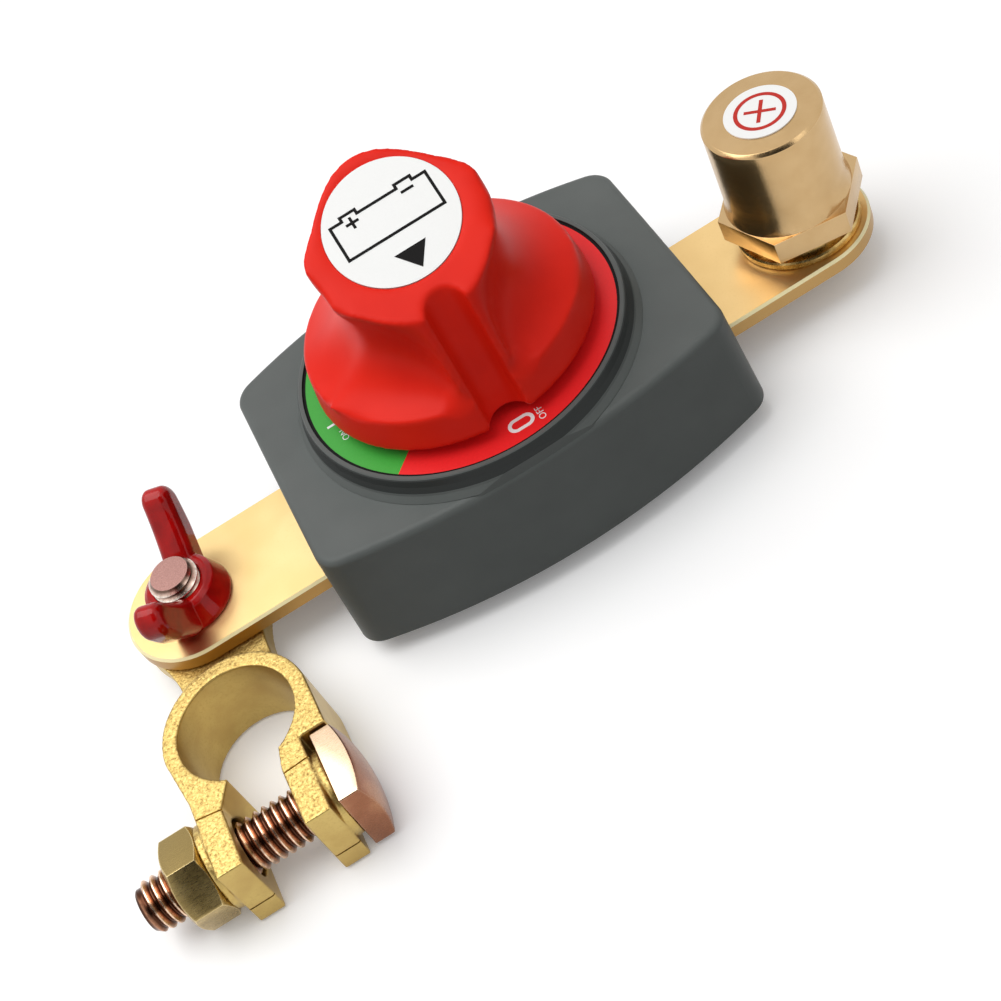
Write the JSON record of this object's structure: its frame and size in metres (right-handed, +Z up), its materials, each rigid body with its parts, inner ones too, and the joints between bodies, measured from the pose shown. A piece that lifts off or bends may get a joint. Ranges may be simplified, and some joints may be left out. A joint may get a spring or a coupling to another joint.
{
  "type": "battery disconnect switch",
  "caption": "Rotary battery disconnect switch with a red knob, a swivelling split clamp for a battery post on its input bar and a tapered terminal post on its output bar.",
  "frame": {"origin": "the knob's turning axis, in the plane of the housing's foot", "axes": "+Z up along the knob's axis; +X along the contact bars from the clamp's end to the terminal post's end; -Y is the side that the knob's pointer faces when off"},
  "size_m": [0.1468, 0.081, 0.0609],
  "materials": {
    "housing_plastic": "satin moulded charcoal plastic with fine grain",
    "cover_plastic": "matt moulded charcoal plastic",
    "dark_steel": "plain zinc-plated steel",
    "dial_green_print": "printed green plate, satin",
    "dial_red_print": "printed red plate, satin",
    "bar_brass": "flat polished brass bar with fine rolling lines",
    "rotor_plastic": "natural glass-filled plastic",
    "spring_steel": "bright spring wire",
    "seal_rubber": "black rubber",
    "knob_plastic": "satin moulded red plastic",
    "knob_label": "white printed label",
    "post_label": "white printed label",
    "post_brass": "turned brass, satin, with turning marks",
    "cast_brass": "cast brass, coarse sand-cast upper face, smoother sides",
    "plated_steel": "yellow-zinc plated steel",
    "stud_steel": "pink-tinted zinc plate",
    "bolt_steel": "iridescent yellow-zinc plate",
    "nut_steel": "olive-gold zinc plate",
    "wing_paint": "thick deep red gloss paint"
  },
  "bodies": {
    "switch": {"housing": "housing_plastic", "base_cover": "cover_plastic", "cover_screws": "dark_steel", "dial_green": "dial_green_print", "dial_red": "dial_red_print", "input_bar": "bar_brass", "output_bar": "bar_brass", "shaft_seal": "seal_rubber", "terminal_post": "post_brass", "post_label": "post_label", "post_spring_washer": "plated_steel", "post_flat_washer": "plated_steel", "post_bolt": "plated_steel"},
    "knob_group": {"knob": "knob_plastic", "knob_label": "knob_label", "knob_screw": "dark_steel", "rotor": "rotor_plastic", "contact_bridge": "bar_brass", "contact_spring": "spring_steel"},
    "wing_nut_group": {"wing_nut": "wing_paint"},
    "stud_group": {"clamp_stud": "stud_steel"},
    "clamp_group": {"terminal_clamp": "cast_brass"},
    "clamp_nut_group": {"clamp_nut": "nut_steel"},
    "clamp_bolt_group": {"clamp_bolt": "bolt_steel"}
  },
  "joints": [
    {"name": "knob_turn", "type": "hinge", "parent": "switch", "child": "knob_group", "pos_m": [0, 0, 0.023], "axis": [0, 0, 1], "range_deg": [-90, 0]},
    {"name": "wing_nut_turn", "type": "hinge", "parent": "switch", "child": "wing_nut_group", "pos_m": [-0.0564, 0, 0.006], "axis": [0, 0, 1], "range_deg": [0, 720]},
    {"name": "stud_drop", "type": "slide", "parent": "switch", "child": "stud_group", "axis": [0, 0, -1], "range_m": [0, 0.0025]},
    {"name": "clamp_swivel", "type": "hinge", "parent": "stud_group", "child": "clamp_group", "pos_m": [-0.0564, 0, 0.001], "axis": [0, 0, 1], "range_deg": [-195, 15]},
    {"name": "clamp_nut_turn", "type": "hinge", "parent": "clamp_group", "child": "clamp_nut_group", "pos_m": [-0.0711, -0.0456, 0.0034], "axis": [-1, 0, 0], "range_deg": [0, 720]},
    {"name": "clamp_bolt_slide", "type": "slide", "parent": "clamp_group", "child": "clamp_bolt_group", "axis": [1, 0, 0], "range_m": [0, 0.0025]}
  ],
  "couplings": [
    {"joint": "wing_nut_turn", "follows": "stud_drop", "rad_per_m": 5026.5},
    {"joint": "clamp_bolt_slide", "follows": "clamp_nut_turn", "m_per_rad": 0.00019894}
  ]
}
